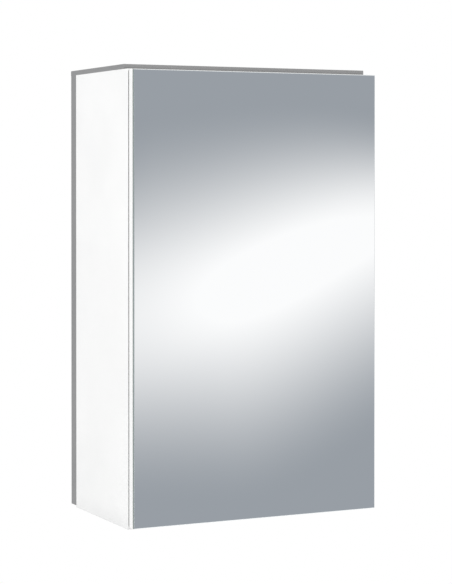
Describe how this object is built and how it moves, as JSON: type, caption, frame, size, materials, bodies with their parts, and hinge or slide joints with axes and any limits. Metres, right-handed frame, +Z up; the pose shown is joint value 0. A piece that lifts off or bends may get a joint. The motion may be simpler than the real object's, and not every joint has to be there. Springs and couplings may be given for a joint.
{
  "type": "bathroom mirror cabinet",
  "caption": "Wall-hung bathroom cabinet: a slim box carcass with glass shelves behind a full-front mirror door on concealed hinges with a magnetic catch.",
  "frame": {"origin": "centre of the four wall screw holes, on the back face that lies on the wall", "axes": "+X to the right as seen from the front, +Y into the wall, +Z up; the door faces -Y"},
  "size_m": [0.3, 0.186, 0.5055],
  "materials": {
    "carcass_board": "white satin laminate",
    "grey_board": "grey matt laminate",
    "door_board": "white satin laminate",
    "mounting_tape": "foam tape",
    "mirror_glass": "silvered glass with ground edges",
    "shelf_glass": "clear, polished edges",
    "bumper_rubber": "translucent soft pad",
    "catch_plastic": "moulded",
    "magnet": "sintered",
    "dowel_wood": "bare beech",
    "zinc_fittings": "die-cast zinc",
    "hinge_steel": "nickel plated"
  },
  "bodies": {
    "cabinet": {"back_board": "grey_board", "back_screws": "hinge_steel", "bottom_panel": "carcass_board", "cam_bolts": "zinc_fittings", "cam_housings": "zinc_fittings", "catch_housing": "catch_plastic", "catch_magnet": "magnet", "catch_screws": "hinge_steel", "cover_screws": "hinge_steel", "dowels": "dowel_wood", "lower_depth_screw": "hinge_steel", "lower_hinge_arm": "hinge_steel", "lower_hinge_plate": "hinge_steel", "lower_side_screw": "hinge_steel", "plate_screws": "hinge_steel", "shelf_lower": "shelf_glass", "shelf_pins": "hinge_steel", "shelf_upper": "shelf_glass", "side_panel_left": "carcass_board", "side_panel_right": "carcass_board", "top_cover": "grey_board", "top_panel": "carcass_board", "upper_depth_screw": "hinge_steel", "upper_hinge_arm": "hinge_steel", "upper_hinge_plate": "hinge_steel", "upper_side_screw": "hinge_steel"},
    "door": {"door_board": "door_board", "mirror_tape": "mounting_tape", "door_mirror": "mirror_glass", "door_bumpers": "bumper_rubber", "strike_plate": "hinge_steel", "strike_screw": "hinge_steel", "cup_screws": "hinge_steel", "upper_hinge_cup": "hinge_steel", "upper_hinge_pin": "hinge_steel", "lower_hinge_cup": "hinge_steel", "lower_hinge_pin": "hinge_steel"}
  },
  "joints": [
    {"name": "door_swing", "type": "hinge", "parent": "cabinet", "child": "door", "pos_m": [0.1448, -0.1784, 0], "axis": [0, 0, 1], "range_deg": [0, 105]}
  ]
}
